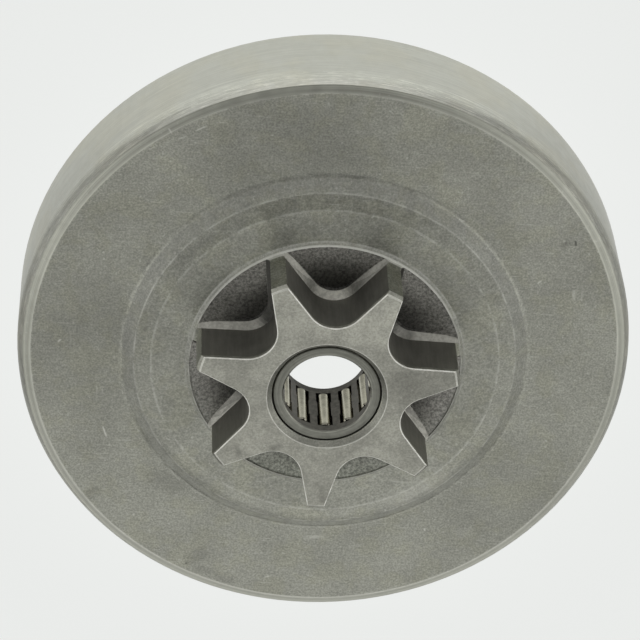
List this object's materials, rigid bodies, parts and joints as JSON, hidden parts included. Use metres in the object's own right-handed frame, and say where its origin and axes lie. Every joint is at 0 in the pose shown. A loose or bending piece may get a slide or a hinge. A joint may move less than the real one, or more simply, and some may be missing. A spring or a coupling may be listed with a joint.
{
  "type": "chainsaw clutch drum",
  "caption": "Steel clutch drum for a chainsaw: an open cup with a spur chain sprocket cast on its face and a needle roller bearing in the bore.",
  "frame": {"origin": "centre of the open rim, on the plane that the drum stands on", "axes": "+Z along the drum's axis, from the open rim towards the sprocket; -Y through one tooth"},
  "size_m": [0.074, 0.074, 0.022],
  "materials": {
    "drum_steel": "blasted and turned steel casting, lightly oiled",
    "cage_steel": "dull machined steel",
    "roller_steel": "ground and polished bearing steel"
  },
  "bodies": {
    "drum": {"drum": "drum_steel"},
    "cage": {"needle_cage": "cage_steel"},
    "roller_01": {"needle_roller_01": "roller_steel"},
    "roller_02": {"needle_roller_02": "roller_steel"},
    "roller_03": {"needle_roller_03": "roller_steel"},
    "roller_04": {"needle_roller_04": "roller_steel"},
    "roller_05": {"needle_roller_05": "roller_steel"},
    "roller_06": {"needle_roller_06": "roller_steel"},
    "roller_07": {"needle_roller_07": "roller_steel"},
    "roller_08": {"needle_roller_08": "roller_steel"},
    "roller_09": {"needle_roller_09": "roller_steel"},
    "roller_10": {"needle_roller_10": "roller_steel"},
    "roller_11": {"needle_roller_11": "roller_steel"},
    "roller_12": {"needle_roller_12": "roller_steel"}
  },
  "joints": [
    {"name": "cage_spin", "type": "hinge", "parent": "drum", "child": "cage", "pos_m": [0, 0, 0.01642], "axis": [0, 0, 1], "continuous": true},
    {"name": "roller_01_spin", "type": "hinge", "parent": "cage", "child": "roller_01", "pos_m": [0.00033, -0.00574, 0.01642], "axis": [0, 0, 1], "continuous": true},
    {"name": "roller_02_spin", "type": "hinge", "parent": "cage", "child": "roller_02", "pos_m": [0.00316, -0.00481, 0.01642], "axis": [0, 0, 1], "continuous": true},
    {"name": "roller_03_spin", "type": "hinge", "parent": "cage", "child": "roller_03", "pos_m": [0.00514, -0.00258, 0.01642], "axis": [0, 0, 1], "continuous": true},
    {"name": "roller_04_spin", "type": "hinge", "parent": "cage", "child": "roller_04", "pos_m": [0.00574, 0.00033, 0.01642], "axis": [0, 0, 1], "continuous": true},
    {"name": "roller_05_spin", "type": "hinge", "parent": "cage", "child": "roller_05", "pos_m": [0.00481, 0.00316, 0.01642], "axis": [0, 0, 1], "continuous": true},
    {"name": "roller_06_spin", "type": "hinge", "parent": "cage", "child": "roller_06", "pos_m": [0.00258, 0.00514, 0.01642], "axis": [0, 0, 1], "continuous": true},
    {"name": "roller_07_spin", "type": "hinge", "parent": "cage", "child": "roller_07", "pos_m": [-0.00033, 0.00574, 0.01642], "axis": [0, 0, 1], "continuous": true},
    {"name": "roller_08_spin", "type": "hinge", "parent": "cage", "child": "roller_08", "pos_m": [-0.00316, 0.00481, 0.01642], "axis": [0, 0, 1], "continuous": true},
    {"name": "roller_09_spin", "type": "hinge", "parent": "cage", "child": "roller_09", "pos_m": [-0.00514, 0.00258, 0.01642], "axis": [0, 0, 1], "continuous": true},
    {"name": "roller_10_spin", "type": "hinge", "parent": "cage", "child": "roller_10", "pos_m": [-0.00574, -0.00033, 0.01642], "axis": [0, 0, 1], "continuous": true},
    {"name": "roller_11_spin", "type": "hinge", "parent": "cage", "child": "roller_11", "pos_m": [-0.00481, -0.00316, 0.01642], "axis": [0, 0, 1], "continuous": true},
    {"name": "roller_12_spin", "type": "hinge", "parent": "cage", "child": "roller_12", "pos_m": [-0.00258, -0.00514, 0.01642], "axis": [0, 0, 1], "continuous": true}
  ],
  "couplings": [
    {"joint": "roller_01_spin", "follows": "cage_spin", "ratio": -8.7333},
    {"joint": "roller_02_spin", "follows": "cage_spin", "ratio": -8.7333},
    {"joint": "roller_03_spin", "follows": "cage_spin", "ratio": -8.7333},
    {"joint": "roller_04_spin", "follows": "cage_spin", "ratio": -8.7333},
    {"joint": "roller_05_spin", "follows": "cage_spin", "ratio": -8.7333},
    {"joint": "roller_06_spin", "follows": "cage_spin", "ratio": -8.7333},
    {"joint": "roller_07_spin", "follows": "cage_spin", "ratio": -8.7333},
    {"joint": "roller_08_spin", "follows": "cage_spin", "ratio": -8.7333},
    {"joint": "roller_09_spin", "follows": "cage_spin", "ratio": -8.7333},
    {"joint": "roller_10_spin", "follows": "cage_spin", "ratio": -8.7333},
    {"joint": "roller_11_spin", "follows": "cage_spin", "ratio": -8.7333},
    {"joint": "roller_12_spin", "follows": "cage_spin", "ratio": -8.7333}
  ]
}
